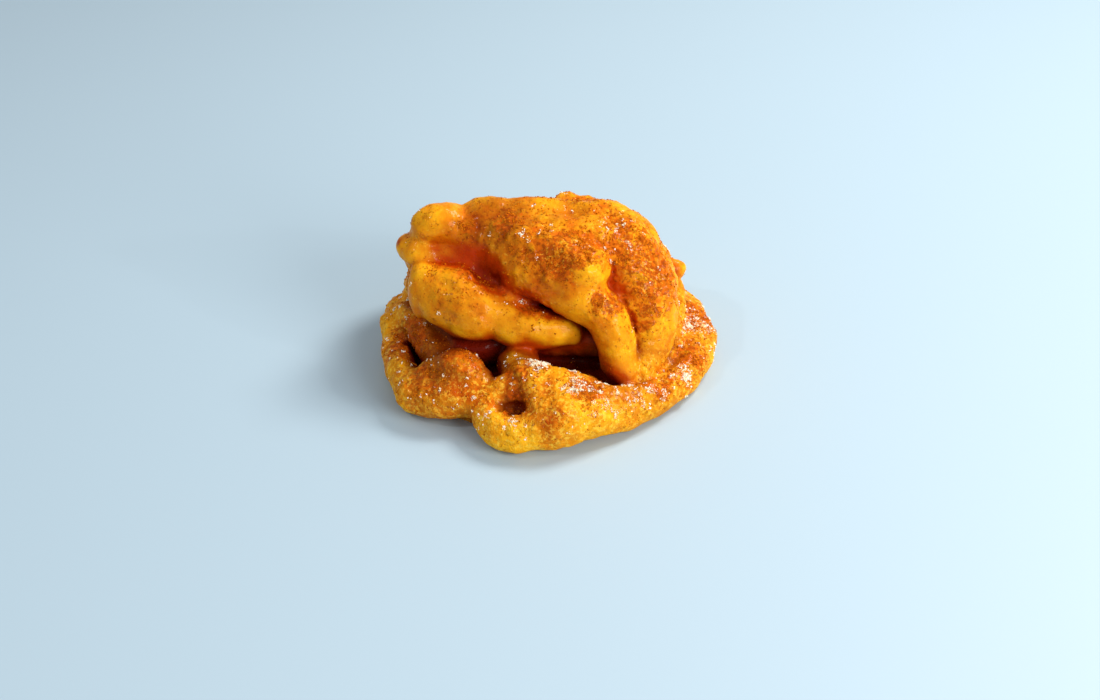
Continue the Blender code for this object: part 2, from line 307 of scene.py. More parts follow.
def raiseLumps(mesh):
    places = [vert.co.copy() for vert in mesh.vertices]
    points, normals = skinPoints(mesh)
    sandiness = sandinessAt(points)
    thick = np.clip(spotWeights(points * mm, cinnamon["spots"])[1] * batter["blisterShare"], 0, 1)
    low, high, pressed = batter["calmNearTable"]
    nearTable = 1 - smoothStep(points[:, 2], low, high)
    rise = lumpField(places, batter["rise"])
    rise += sandiness * (1 - pressed * nearTable) * lumpField(places, batter["sandy"])
    rise += thick * lumpField(places, batter["blisters"])
    mesh.vertices.foreach_set("co", (points + normals * rise[:, None]).astype(np.float32).ravel())


def fryCake():
    ropes = []
    lowRing = [ringRoute(), baseRing["apron"], baseRing["inner"]]
    ropes.append(fryGroup("ring", lowRing, crumbCore["lumps"], baseRing["soften"]))
    for name, group in (("curl", frontCurl), ("left", leftStrands), ("innerLeft", innerLeft),
                        ("finger", frontFinger), ("roll", topRoll), ("cheek", leftCheek),
                        ("drape", frontDrape), ("back", backFolds)):
        ropes.append(fryGroup(name, routesOf(group), [], group["soften"]))
    bm = bmesh.new()
    for thing in ropes:
        bm.from_mesh(thing.data)
        bpy.data.objects.remove(thing)
    whole = bpy.data.meshes.new("friedDough")
    bm.to_mesh(whole)
    bm.free()
    cake = bpy.data.objects.new("friedDough", whole)
    scene.collection.objects.link(cake)
    remeshed(cake, batter["skinVoxel"], batter["creaseSoften"])
    meltCreases(cake)
    raiseLumps(cake.data)
    bm = bmesh.new()
    bm.from_mesh(cake.data)
    outsideOnly(bm)
    cutBase(bm)
    bmesh.ops.triangulate(bm, faces=bm.faces[:])
    for vert in bm.verts:
        vert.co = (vert.co + pileShift) * mm
    bm.to_mesh(cake.data)
    bm.free()
    if len(cake.data.polygons) > batter["triangles"]:
        thin = cake.modifiers.new("thin", "DECIMATE")
        thin.ratio = batter["triangles"] / len(cake.data.polygons)
        cake.data = evaluatedMesh(cake)
        cake.modifiers.clear()
    cake.data.polygons.foreach_set("use_smooth", [True] * len(cake.data.polygons))
    return cake


# what the frying did to each part of the skin, and the painted shade and painted light on it, kept on the
# mesh for the materials

skin = {
    "rays": 24,
    "reach": 15 * mm,                    # how far a neighbouring rope still hides a point, for the painted shade
    "farShare": 0.6,                     # how much less it hides at that distance
    "rayStart": 0.12,                    # mm above the skin
    # places painted paler (1) or deeper (0), partly how the crust fried and partly painted light and shade,
    # such as the lit underside of the front finger: middle and radius in mm, tone
    "tones": [((-24, -12, 27), 17, 0.42), ((-2, -15, 19), 13, 0.85), ((-31, 8, 45), 9, 0.62),
              ((-36, 5, 36), 7, 0.70), ((-10, -44, 3), 12, 1.0), ((6, -44, 2), 14, 0.95),
              ((22, -36, 4), 13, 0.62), ((2, -40, 4), 11, 0.36), ((12.5, -13, 37), 6, 1.0),
              ((2, -12, 36), 9, 0.15), ((-9, -33, 12), 7, 0.0), ((14, -20, 23), 6, 0.20),
              ((20, -22, 16), 7, 0.85), ((28, -20, 16), 9, 0.65), ((46, 2, 8), 18, 0.35),
              ((36, -22, 9), 10, 0.30), ((14, -32, 13), 9, 0.35), ((-3, -36, 13), 9, 0.30),
              ((-19, 4, 42), 12, 0.12), ((-28, 3, 38), 7, 0.10), ((-6, -4, 40), 12, 0.15),
              ((-4, 8, 48), 12, 0.45), ((14, 4, 45), 12, 0.45), ((30, -6, 32), 15, 0.45),
              ((26, 0, 43), 8, 0.75), ((12.4, -14.5, 38.5), 4.5, 1.0), ((10, -12, 38), 9, 0.2),
              ((26, -14, 22), 8, 0.9), ((-36, -2, 14), 14, 0.15), ((-33, -8, 15), 8, 0.1),
              ((-28, -25, 11), 15, 0.0), ((-1.5, -43.5, 11.5), 6.5, 0.0), ((-22, -15.5, 22.5), 6.5, 1.0),
              ((-12, -16.5, 18.5), 6.5, 1.0), ((-14, -26, 12), 9, 0.05), ((-20, 2, 34), 10, 0.05),
              ((0, -10, 33), 8, 0.1), ((-8, -28, 12), 6, 0.0), ((-19, -28, 8), 9, 0.10),
              ((-34, -18, 8), 9, 0.15), ((-44, -4, 4), 8, 0.6), ((-30, -30, 2), 9, 0.5)],
    "middleTone": 0.60, "middleWeight": 0.35,            # the tone elsewhere, and its say inside the places
    "crispPasses": 2, "softPasses": 40, "ridgePasses": 12,
    # places painted browner, partly browner frying and partly painted shade on the ropes that lie out of the
    # light: middle and radius in mm, and how much
    "brownedAndShaded": [((-24, -8, 27), 15, 0.9), ((-11, -13, 22), 9, 0.6), ((-2, -15.5, 21), 7, 0.35),
                ((-30, -20, 10), 17, 1.0), ((-37, -4, 14), 13, 1.0), ((-21, -11, 14), 10, 0.8),
                ((-31, 6, 44), 10, 0.2), ((-28, 3, 37.5), 6, 0.5), ((-19, 3, 43), 12, 0.95),
                ((-14, 9, 48.5), 9, 0.5), ((-1.5, -43.5, 11.5), 6.5, 0.65), ((-8, -2, 43), 9, 0.5),
                ((13, -19, 26), 8, 0.05), ((2, -12, 36), 10, 0.7), ((27, -18, 18), 9, 0.4),
                ((-9, -24, 15), 8, 1.0), ((-9, -29, 9), 7, 0.8), ((14, -31, 13), 9, 0.5),
                ((38, -14, 9), 12, 0.6), ((-9, -33, 12), 8, 0.9), ((-2, -35, 12), 9, 0.4),
                ((-9, 5, 48), 13, 0.8), ((8, 6, 47), 10, 0.4), ((30, -30, 6), 13, 0.6),
                ((45, 2, 8), 12, 0.6), ((20, -33, 11), 9, 0.6)],
    # painted shade and painted light: places painted darker (above 0) or lighter (below 0) than the hiding by
    # other ropes makes them
    "shade": [((-18, 3, 35), 11, 0.22), ((-11, -3, 33), 10, 0.15), ((-3, -11, 31), 8, 0.16),
              ((5, -15, 28), 6, 0.12), ((11, -18, 24), 5, 0.08), ((-27, -22, 13), 14, 0.18),
              ((-40.6, 8.2, 38.8), 3, 0.3), ((-21.5, -11, 31.8), 1.6, 0.16), ((-37.5, -1.5, 15), 8, -0.2),
              ((-9, -27, 12), 5, 0.10), ((20.5, -15.5, 27), 7, -0.30), ((24, -17, 20), 6, -0.30),
              ((17, -12, 34), 6, -0.25), ((-22, -11, 14), 9, 0.12), ((7, -12, 20), 8, -0.42),
              ((-9.5, -35, 9.5), 6.5, -0.12), ((15.5, -21.5, 22.5), 7, -0.12), ((-34, 4.5, 42), 5, -0.12),
              ((-22, -15.5, 22.5), 6.5, -0.20), ((-12, -16.5, 18.5), 6.5, -0.20), ((0, -14, 20), 9, -0.18),
              ((31, -19, 11), 9, -0.26), ((38, -10, 9), 9, -0.26), ((40, 0, 9), 9, -0.2),
              ((25, -23, 9), 6, -0.15), ((14, -15, 37), 6, -0.24), ((-9, -8.5, 28.5), 6, -0.10),
              ((-2, -11.5, 25), 6, -0.14), ((5, -12, 22.5), 5, -0.16), ((-40, 13, 22), 7, 0.10)],
}


def skinPoints(mesh):
    count = len(mesh.vertices)
    points = np.empty(count * 3, dtype=np.float32)
    normals = np.empty(count * 3, dtype=np.float32)
    mesh.vertices.foreach_get("co", points)
    mesh.vertices.foreach_get("normal", normals)
    return points.reshape(-1, 3), normals.reshape(-1, 3)


def skyDirections(count):
    # an even spiral of directions over half a ball, thicker towards its pole
    turns = np.arange(count) + 0.5
    radius = np.sqrt(turns / count)
    angle = turns * math.pi * (3 - math.sqrt(5))
    return np.stack([radius * np.cos(angle), radius * np.sin(angle), np.sqrt(1 - radius ** 2)], 1)


# how hidden each point is by the ropes round it; the crust is painted darker there as painted shade
def hiddenness(mesh):
    points, normals = skinPoints(mesh)
    tree = BVHTree.FromPolygons([Vector(p) for p in points.tolist()],
                                [tuple(face.vertices) for face in mesh.polygons])
    directions = skyDirections(skin["rays"])
    side = np.cross(normals, np.where(np.abs(normals[:, 2:]) < 0.9, [[0, 0, 1]], [[1, 0, 0]]))
    side /= np.maximum(np.linalg.norm(side, axis=1, keepdims=True), 1e-9)
    other = np.cross(normals, side)
    starts = points + normals * skin["rayStart"] * mm
    reach = skin["reach"]
    hidden = np.zeros(len(points), dtype=np.float32)
    origins = [Vector(p) for p in starts.tolist()]
    for x, y, z in directions:
        rays = (side * x + other * y + normals * z).tolist()
        for index, ray in enumerate(rays):
            distance = tree.ray_cast(origins[index], ray, reach)[3]
            if distance is not None:
                hidden[index] += 1 - distance / reach * skin["farShare"]
    return hidden / skin["rays"]


def evened(mesh, values, passes):
    # each point takes half of its neighbours' mean
    count = len(mesh.edges) * 2
    ends = np.empty(count, dtype=np.int32)
    mesh.edges.foreach_get("vertices", ends)
    ends = ends.reshape(-1, 2)
    links = np.bincount(ends.ravel(), minlength=len(values))
    for _ in range(passes):
        total = np.bincount(ends[:, 0], values[ends[:, 1]], len(values))
        total += np.bincount(ends[:, 1], values[ends[:, 0]], len(values))
        values = 0.5 * values + 0.5 * total / np.maximum(links, 1)
    return values


def ridginess(mesh, passes):
    # above 0 where the skin stands proud of its surroundings, below 0 in a crease, in mm
    points, normals = skinPoints(mesh)
    local = np.stack([evened(mesh, points[:, axis].astype(float), passes) for axis in range(3)], 1)
    return ((points - local) * normals).sum(1) / mm


def spotWeights(points, spots):
    total = np.zeros(len(points))
    value = np.zeros(len(points))
    for middle, radius, amount in spots:
        distance = np.linalg.norm(points / mm - np.array(middle), axis=1)
        weight = smoothStep(1 - distance / radius, 0, 1)
        total += weight
        value += weight * amount
    return total, value


def keep(mesh, name, values):
    layer = mesh.attributes.new(name, "FLOAT", "POINT")
    layer.data.foreach_set("value", np.asarray(values, dtype=np.float32))


def recordSkin(cake):
    mesh = cake.data
    points = skinPoints(mesh)[0]
    crisp = evened(mesh, hiddenness(mesh), skin["crispPasses"])
    # a sharp shadow inside a wide soft one
    hidden = (crisp + evened(mesh, crisp, skin["softPasses"])) / 2
    # painted shade: the listed spots darken or lighten how hidden each point is
    hidden = np.clip(hidden + spotWeights(points, skin["shade"])[1], 0, 1)
    total, value = spotWeights(points, skin["tones"])
    tone = (value + skin["middleWeight"] * skin["middleTone"]) / (total + skin["middleWeight"])
    keep(mesh, "hidden", hidden)
    keep(mesh, "ridge", ridginess(mesh, skin["ridgePasses"]))
    keep(mesh, "tone", tone)
    keep(mesh, "brownedAndShaded", np.clip(spotWeights(points, skin["brownedAndShaded"])[1], 0, 1))
    keep(mesh, "sandy", sandinessAt(points / mm))
    return hidden


# cinnamon and sugar, shaken on from above

cinnamon = {
    "clumps": 12500,
    "perClump": (1, 6),
    "clumpWidth": 0.40,                  # mm
    "grains": 24500,
    "size": (0.075, 0.33),               # half length in mm
    "flatness": (0.35, 0.7),
    "seed": 11,
    "everywhere": 0.07, "onSand": 0.42,
    "steepLeft": 0.20,                   # what still sticks to an upright face
    "patchSpacing": (6.0, 2.2, 1.0),     # mm, from drifts to small clumps
    "spots": [((-5, -1, 45), 18, 1.3), ((8, -8.5, 42), 12, 3.0), ((22, 1, 42), 16, 1.8),
              ((29, -8, 31), 19, 2.5), ((27, -15, 22), 8, 1.5), ((16, -17, 31), 8, 2.8),
              ((0, -9, 38), 11, 1.4), ((-4, -9, 27), 11, 2.0), ((-14, -5, 31), 8, 1.4),
              ((40, -14, 9), 12, 1.2), ((43, 4, 11), 11, 1.3), ((30, -26, 9), 8, 1.2),
              ((-22, -21, 19), 9, 1.2), ((-40, -2, 13), 12, 1.6), ((10, -33, 15), 9, 1.4),
              ((-4, -26, 18), 8, 1.2), ((-8, -27, 14), 6, 2.4), ((12, 14, 45), 14, 1.5),
              ((-39, 13, 26), 8, 2.4), ((34, 18, 26), 14, 1.2), ((-24, 24, 36), 15, 1.2),
              ((0, 34, 26), 16, 1.0), ((-33, -20, 10), 10, 1.0), ((-20, 6, 45), 7, 0.5),
              ((-24, -8, 32), 11, 0.9), ((-29, -2, 36), 5, 1.4), ((-21, -4, 34.5), 6, 1.4),
              ((-31, 8, 47), 6, 0.4), ((-22, 3, 45), 6, 1.5), ((-19, 3, 41.5), 2.5, 2.4),
              ((-11, 3, 46.5), 8, 1.0), ((-9.5, -34, 11), 6, 2.4)],
}

sugar = {
    "clumps": 1000,
    "perClump": (1, 20),
    "clumpWidth": 0.34,
    "grains": 9000,
    "size": (0.09, 0.38),
    "flatness": (0.6, 1.0),
    "seed": 23,
    "everywhere": 0.012, "onSand": 0.16,
    "steepLeft": 0.10,
    "patchSpacing": (4.0, 1.6, 0.9),
    "spots": [((-4, -25, 18.5), 6, 5.0), ((7, -31, 16.5), 8, 4.0), ((15, -35, 13), 6, 3.0),
              ((27, -29, 9), 9, 2.6), ((39, -21, 8), 8, 2.8), ((44, -1, 11), 10, 4.0),
              ((-11, -40, 9), 4, 3.0), ((-17, -35, 10), 4, 3.0), ((-4, -8, 28), 6, 2.2),
              ((22, 0, 42), 9, 0.8), ((-2, -2, 44), 6, 1.0), ((6, 24, 40), 10, 1.0), ((-28, 26, 33), 9, 1.0),
              ((36, 20, 18), 9, 1.4)],
}


grainHabit = {
    "patchEdge": (-0.35, 0.35), "patchGain": 1.6,        # where a drift ends, and how thick it lies
    "steep": (-0.1, 0.75),                               # upward part of the normal: from few grains to all
    "overhang": -0.3,                                    # below this there are none
    "pocket": (0.30, 0.62),                              # how hidden a place is where grains stop
    "width": (0.35, 0.9),                                # against the length
    "swollen": 0.18, "knocked": 0.16,                    # how much the crumbs' points vary
    "flattened": 0.8, "tilt": 0.25,                      # how close a clump lies to the skin, and how level
    "lift": 0.35, "aboveTable": 0.02 * mm,
    "dustSteep": (-0.2, 0.7), "dustLeft": 0.45, "dustPocket": (0.35, 0.7),
}


def crumbShape():
    # six points and eight faces, each crumb knocked out of shape later
    corners = [(1, 0, 0), (0, 1, 0), (-1, 0, 0), (0, -1, 0), (0, 0, 1), (0, 0, -1)]
    faces = [(0, 1, 4), (1, 2, 4), (2, 3, 4), (3, 0, 4), (1, 0, 5), (2, 1, 5), (3, 2, 5), (0, 3, 5)]
    return np.array(corners, dtype=float), np.array(faces)


def patchiness(points, spacing, seed):
    shift = Vector((seed * 3.7, seed * 1.3, seed * 2.1))
    values = [noise.noise(Vector(p) / (spacing * mm) + shift) for p in points.tolist()]
    return np.array(values)


def grainCover(settings, points, normals, hidden):
    # how many grains lie at each point of the skin: more in the drifts, fewer on steep faces, none in pockets
    cover = settings["everywhere"] + settings["onSand"] * sandinessAt(points / mm)
    cover = cover + spotWeights(points, settings["spots"])[1]
    for index, spacing in enumerate(settings["patchSpacing"]):
        patches = patchiness(points, spacing, settings["seed"] + index)
        cover = cover * smoothStep(patches, *grainHabit["patchEdge"]) * grainHabit["patchGain"]
    cover = cover * (settings["steepLeft"] + smoothStep(normals[:, 2], *grainHabit["steep"]))
    return cover * (1 - smoothStep(hidden, *grainHabit["pocket"])) * (normals[:, 2] > grainHabit["overhang"])


def crumbPoints(rng, total, size, flat):
    # every crumb a little different, its long side along x and its flat side along z
    narrow = rng.uniform(*grainHabit["width"], total)
    shape, faces = crumbShape()
    verts = shape[None] * (1 + rng.normal(0, grainHabit["swollen"], (total, len(shape), 1)))
    verts += rng.normal(0, grainHabit["knocked"], verts.shape)
    return verts * np.stack([size, size * narrow, size * flat], 1)[:, None] * mm, faces


def scatter(name, settings, cake, hidden):
    rng = np.random.default_rng(settings["seed"])
    mesh = cake.data
    points, normals = skinPoints(mesh)
    cover = grainCover(settings, points, normals, hidden)
    corners = np.empty(len(mesh.polygons) * 3, dtype=np.int32)
    mesh.loops.foreach_get("vertex_index", corners)
    corners = corners.reshape(-1, 3)
    a, b, c = (points[corners[:, index]] for index in range(3))
    area = np.linalg.norm(np.cross(b - a, c - a), axis=1)
    chance = area * cover[corners].mean(1)
    chance /= chance.sum()
    # a clump starts on a face of the skin, and each of its grains falls close by
    centres = rng.choice(len(corners), settings["clumps"], p=chance)
    fewest, most = settings["perClump"]
    members = (fewest + (most - fewest) * rng.random(settings["clumps"]) ** 3).astype(int)
    chosen = np.repeat(centres, members)[:settings["grains"]]
    total = len(chosen)
    u, v = np.repeat(rng.random((2, settings["clumps"], 1)), members, axis=1)[:, :total]
    over = u + v > 1
    u, v = np.where(over, 1 - u, u), np.where(over, 1 - v, v)
    spots = a[chosen] + (b[chosen] - a[chosen]) * u + (c[chosen] - a[chosen]) * v
    up = normals[corners[chosen]].mean(1)
    inClump = np.repeat(members, members)[:total, None] > 1
    crowd = rng.normal(0, settings["clumpWidth"] * mm, up.shape) * inClump
    spots += crowd - (crowd * up).sum(1, keepdims=True) * up * grainHabit["flattened"]
    up += rng.normal(0, grainHabit["tilt"], up.shape)
    up /= np.linalg.norm(up, axis=1, keepdims=True)
    side = np.cross(up, rng.normal(0, 1, up.shape))
    side /= np.linalg.norm(side, axis=1, keepdims=True)
    across = np.cross(up, side)
    small, large = settings["size"]
    size = small + (large - small) * rng.random(total) ** 3
    flat = rng.uniform(*settings["flatness"], total)
    verts, faces = crumbPoints(rng, total, size, flat)
    along, wide, tall = verts[:, :, :1], verts[:, :, 1:2], verts[:, :, 2:]
    turned = along * side[:, None] + wide * across[:, None] + tall * up[:, None]
    turned += (spots + (size * flat * grainHabit["lift"] * mm)[:, None] * up)[:, None]
    turned[:, :, 2] = np.maximum(turned[:, :, 2], grainHabit["aboveTable"])
    grainSize = verts.shape[1]
    allFaces = (faces[None] + grainSize * np.arange(total)[:, None, None]).reshape(-1, 3)
    grains = bpy.data.meshes.new(name)
    grains.from_pydata(turned.reshape(-1, 3).tolist(), [], allFaces.tolist())
    grains.update()
    piece = bpy.data.objects.new(name, grains)
    scene.collection.objects.link(piece)
    keep(grains, "shade", np.repeat(rng.random(total), grainSize))
    print(name, total)
    return piece


def dustCover(settings, cake, hidden):
    # how thick the dusting lies, 0 to 1, for the finest part that is colour only
    points, normals = skinPoints(cake.data)
    thickest = max(amount for _, _, amount in settings["spots"])
    left = grainHabit["dustLeft"]
    cover = settings["everywhere"] + spotWeights(points, settings["spots"])[1] / thickest
    cover = cover * (left + (1 - left) * smoothStep(normals[:, 2], *grainHabit["dustSteep"]))
    return np.clip(cover * (1 - smoothStep(hidden, *grainHabit["dustPocket"])), 0, 1)


# shader groups that the finishes share

def newGroup(name, inputs, outputs):
    group = bpy.data.node_groups.new(name, "ShaderNodeTree")
    for socketName, kind, value in inputs:
        socket = group.interface.new_socket(socketName, in_out="INPUT", socket_type=kind)
        if value is not None:
            socket.default_value = value
    for socketName, kind in outputs:
        group.interface.new_socket(socketName, in_out="OUTPUT", socket_type=kind)
    return group, group.nodes.new("NodeGroupInput"), group.nodes.new("NodeGroupOutput")


def link(tree, source, target):
    tree.links.new(source, target)


def mathNode(tree, operation, first, second=None, clamp=False):
    node = tree.nodes.new("ShaderNodeMath")
    node.operation = operation
    node.use_clamp = clamp
    for socket, value in zip(node.inputs, (first, second)):
        if isinstance(value, (int, float)):
            socket.default_value = value
        elif value is not None:
            link(tree, value, socket)
    return node.outputs[0]


def mapRange(tree, value, low, high, toLow=0.0, toHigh=1.0):
    node = tree.nodes.new("ShaderNodeMapRange")
    node.interpolation_type = "SMOOTHSTEP"
    for socket, setting in zip(node.inputs[:5], (value, low, high, toLow, toHigh)):
        if isinstance(setting, (int, float)):
            socket.default_value = setting
        else:
            link(tree, setting, socket)
    return node.outputs[0]


def mixColour(tree, factor, first, second, blend="MIX"):
    node = tree.nodes.new("ShaderNodeMix")
    node.data_type = "RGBA"
    node.blend_type = blend
    for socket, value in ((node.inputs[0], factor), (node.inputs[6], first), (node.inputs[7], second)):
        if isinstance(value, (int, float)):
            socket.default_value = value
        elif isinstance(value, tuple):
            socket.default_value = (*value, 1)
        else:
            link(tree, value, socket)
    return node.outputs[2]


def noiseNode(tree, vector, scale, detail=2.0, roughness=0.5):
    node = tree.nodes.new("ShaderNodeTexNoise")
    node.inputs["Detail"].default_value = detail
    node.inputs["Roughness"].default_value = roughness
    link(tree, vector, node.inputs["Vector"])
    if isinstance(scale, (int, float)):
        node.inputs["Scale"].default_value = scale
    else:
        link(tree, scale, node.inputs["Scale"])
    return node.outputs["Fac"]


def perMm(tree, size):
    # features of this size in mm, on a surface measured in metres
    return mathNode(tree, "DIVIDE", 1000.0, size)


def buildColourDrift():
    # a colour that wanders between a pale and a deep one
    group, given, made = newGroup(
        "colourDrift",
        [("Vector", "NodeSocketVector", None), ("Size", "NodeSocketFloat", 8.0),
         ("Tone", "NodeSocketFloat", 0.5), ("Unevenness", "NodeSocketFloat", 0.5),
         ("Deep", "NodeSocketColor", (0.7, 0.2, 0.01, 1)),
         ("Pale", "NodeSocketColor", (0.9, 0.5, 0.05, 1))],
        [("Colour", "NodeSocketColor")])
    wide = noiseNode(group, given.outputs["Vector"], perMm(group, given.outputs["Size"]), 3.0, 0.55)
    swing = mathNode(group, "MULTIPLY", mathNode(group, "SUBTRACT", wide, 0.5), given.outputs["Unevenness"])
    lean = mathNode(group, "ADD", given.outputs["Tone"], mathNode(group, "MULTIPLY", swing, 2.5), clamp=True)
    link(group, mixColour(group, lean, given.outputs["Deep"], given.outputs["Pale"]), made.inputs["Colour"])
    return group


def buildSpeckle():
    # small irregular flecks: 1 on a fleck, 0 between them
    group, given, made = newGroup(
        "speckle",
        [("Vector", "NodeSocketVector", None), ("Size", "NodeSocketFloat", 0.6),
         ("Cover", "NodeSocketFloat", 0.2), ("Softness", "NodeSocketFloat", 0.06)],
        [("Mask", "NodeSocketFloat")])
    scale = perMm(group, given.outputs["Size"])
    rough = noiseNode(group, given.outputs["Vector"], mathNode(group, "MULTIPLY", scale, 0.55), 4.0, 0.7)
    # noise sits round a half: cover 0 keeps nothing and cover 1 keeps all
    bar = mapRange(group, given.outputs["Cover"], 0.0, 1.0, 0.74, 0.36)
    top = mathNode(group, "ADD", bar, given.outputs["Softness"])
    link(group, mapRange(group, rough, bar, top), made.inputs["Mask"])
    return group


def buildGrain():
    # fine crumb as a height from 0 to 1
    group, given, made = newGroup(
        "crumbGrain",
        [("Vector", "NodeSocketVector", None), ("Size", "NodeSocketFloat", 0.5),
         ("Sharpness", "NodeSocketFloat", 0.5)],
        [("Height", "NodeSocketFloat")])
    scale = perMm(group, given.outputs["Size"])
    soft = noiseNode(group, given.outputs["Vector"], mathNode(group, "MULTIPLY", scale, 0.5), 3.0, 0.6)
    cells = group.nodes.new("ShaderNodeTexVoronoi")
    link(group, given.outputs["Vector"], cells.inputs["Vector"])
    link(group, scale, cells.inputs["Scale"])
    sharp = mathNode(group, "SUBTRACT", 1.0, cells.outputs["Distance"])
    mixed = group.nodes.new("ShaderNodeMix")
    link(group, given.outputs["Sharpness"], mixed.inputs[0])
    link(group, soft, mixed.inputs[2])
    link(group, sharp, mixed.inputs[3])
    link(group, mixed.outputs[0], made.inputs["Height"])
    return group


effects = {"drift": buildColourDrift(), "speckle": buildSpeckle(), "grain": buildGrain()}


def useEffect(tree, kind, **settings):
    # sizes are in mm
    node = tree.nodes.new("ShaderNodeGroup")
    node.node_tree = effects[kind]
    for name, value in settings.items():
        socket = node.inputs[name.capitalize()]
        if isinstance(value, (int, float)):
            socket.default_value = value
        elif isinstance(value, tuple):
            socket.default_value = (*value, 1)
        else:
            link(tree, value, socket)
    return node.outputs[0]


def newMaterial(name):
    material = bpy.data.materials.new(name)
    material.use_nodes = True
    tree = material.node_tree
    shader = tree.nodes["Principled BSDF"]
    where = tree.nodes.new("ShaderNodeTexCoord").outputs["Object"]
    return material, tree, shader, where


def kept(tree, name):
    node = tree.nodes.new("ShaderNodeAttribute")
    node.attribute_name = name
    return node.outputs["Fac"]


def bump(tree, shader, height, depth):
    node = tree.nodes.new("ShaderNodeBump")
    node.inputs["Strength"].default_value = 1.0
    node.inputs["Distance"].default_value = depth
    link(tree, height, node.inputs["Height"])
    link(tree, node.outputs["Normal"], shader.inputs["Normal"])


def setGlow(shader, look):
    # light that soaks in and comes back out
    shader.inputs["Subsurface Weight"].default_value = look["glow"]
    shader.inputs["Subsurface Radius"].default_value = look["glowRadius"]
    shader.inputs["Subsurface Scale"].default_value = look["glowDepth"]


doughFinish = {
    "pale": (0.95, 0.42, 0.008), "deep": (0.66, 0.112, 0.001), "driftSize": 5.0, "unevenness": 0.65,
    "proud": (0.55, 0.20),               # how far a ridge pales the crust: plain, browned and shaded
    "brownedAndShaded": (0.57, 0.47, 0.42),       # what the browner and painted-shade places do to the colour under them
    # painted shade colours for the creases and pockets where other ropes close in
    "creaseShade": (0.45, 0.031, 0.0005), "pocket": (0.15, 0.004, 0.0002),
    "dryCreaseShade": (0.29, 0.056, 0.0018),  # painted shade in a crease on the sandy low ropes
    # how hidden a place is where the painted shade starts and is full, and how strong it is then
    "creaseShadeRange": (0.06, 0.32, 0.95), "pocketShadeRange": (0.30, 0.60, 0.96),
    # marks on the skin: colour, size in mm, softness of the edge, and how strongly they show
    "blotch": ((0.66, 0.52, 0.45), 2.4, 0.16, 0.72),
    "freckle": ((0.46, 0.28, 0.20), 0.95, 0.12, 0.72),
    "crumb": ((1.0, 0.58, 0.05), 0.7, 0.09, 1.0),
    "dust": ((0.60, 0.096, 0.0012), 1.6, 0.14, 0.80),
    "fleck": ((0.34, 0.045, 0.0008), 0.7, 0.10, 0.70),
    "dustedCrumb": ((1.0, 0.58, 0.05), 0.5, 0.10, 0.55),
    "sugar": ((0.98, 0.78, 0.42), 0.42, 0.06, 0.75),
    # how much of the skin they cover
    "blotchCover": 0.54, "freckleCover": (0.44, 0.53),                  # plain, browned and shaded
    "crumbCover": (0.42, 0.58), "crumbShare": (0.50, 0.72),             # smooth, sandy
    "dustCover": (0.12, 1.0), "fleckCover": (0.35, 0.64),               # clean, dusted
    "dustedCrumbCover": (0.0, 0.56), "sugarCover": (0.0, 0.62),         # clean, dusted
    "dustFull": 0.9, "sandyDust": 0.22, "sandySugar": 0.06,
    "paleFrom": 0.6, "paleMarks": 0.45,  # tone where dark marks start to fade, and what is left of them
    "brownedAndShadedCrumbs": 0.9,                # how many of the crumbs the browner and painted-shade places lose
    "roughness": (0.40, 0.66), "veilRoughness": 0.8, "patchScale": 300.0, "patchDepth": 0.5,
    "grainSize": 0.55, "grainSharpness": 0.35, "grainShare": (0.38, 1.0), "grainDepth": 0.00045,
    "waveScale": 420.0, "waveShare": 0.5, "fleckShare": 0.35, "blotchShare": -0.25,
    "glow": 0.10, "glowRadius": (1.0, 0.32, 0.06), "glowDepth": 0.0035,
    "specular": 0.03, "oil": 0.115, "oilRoughness": 0.07,
}


def markOver(tree, where, colour, mark, cover, blend="MIX", by=1.0):
    # one kind of mark laid over a colour, thinned out where "by" is low
    tint, size, softness, share = mark
    mask = useEffect(tree, "speckle", vector=where, size=size, cover=cover, softness=softness)
    amount = mathNode(tree, "MULTIPLY", mathNode(tree, "MULTIPLY", mask, by), share)
    return mixColour(tree, amount, colour, tint, blend), mask


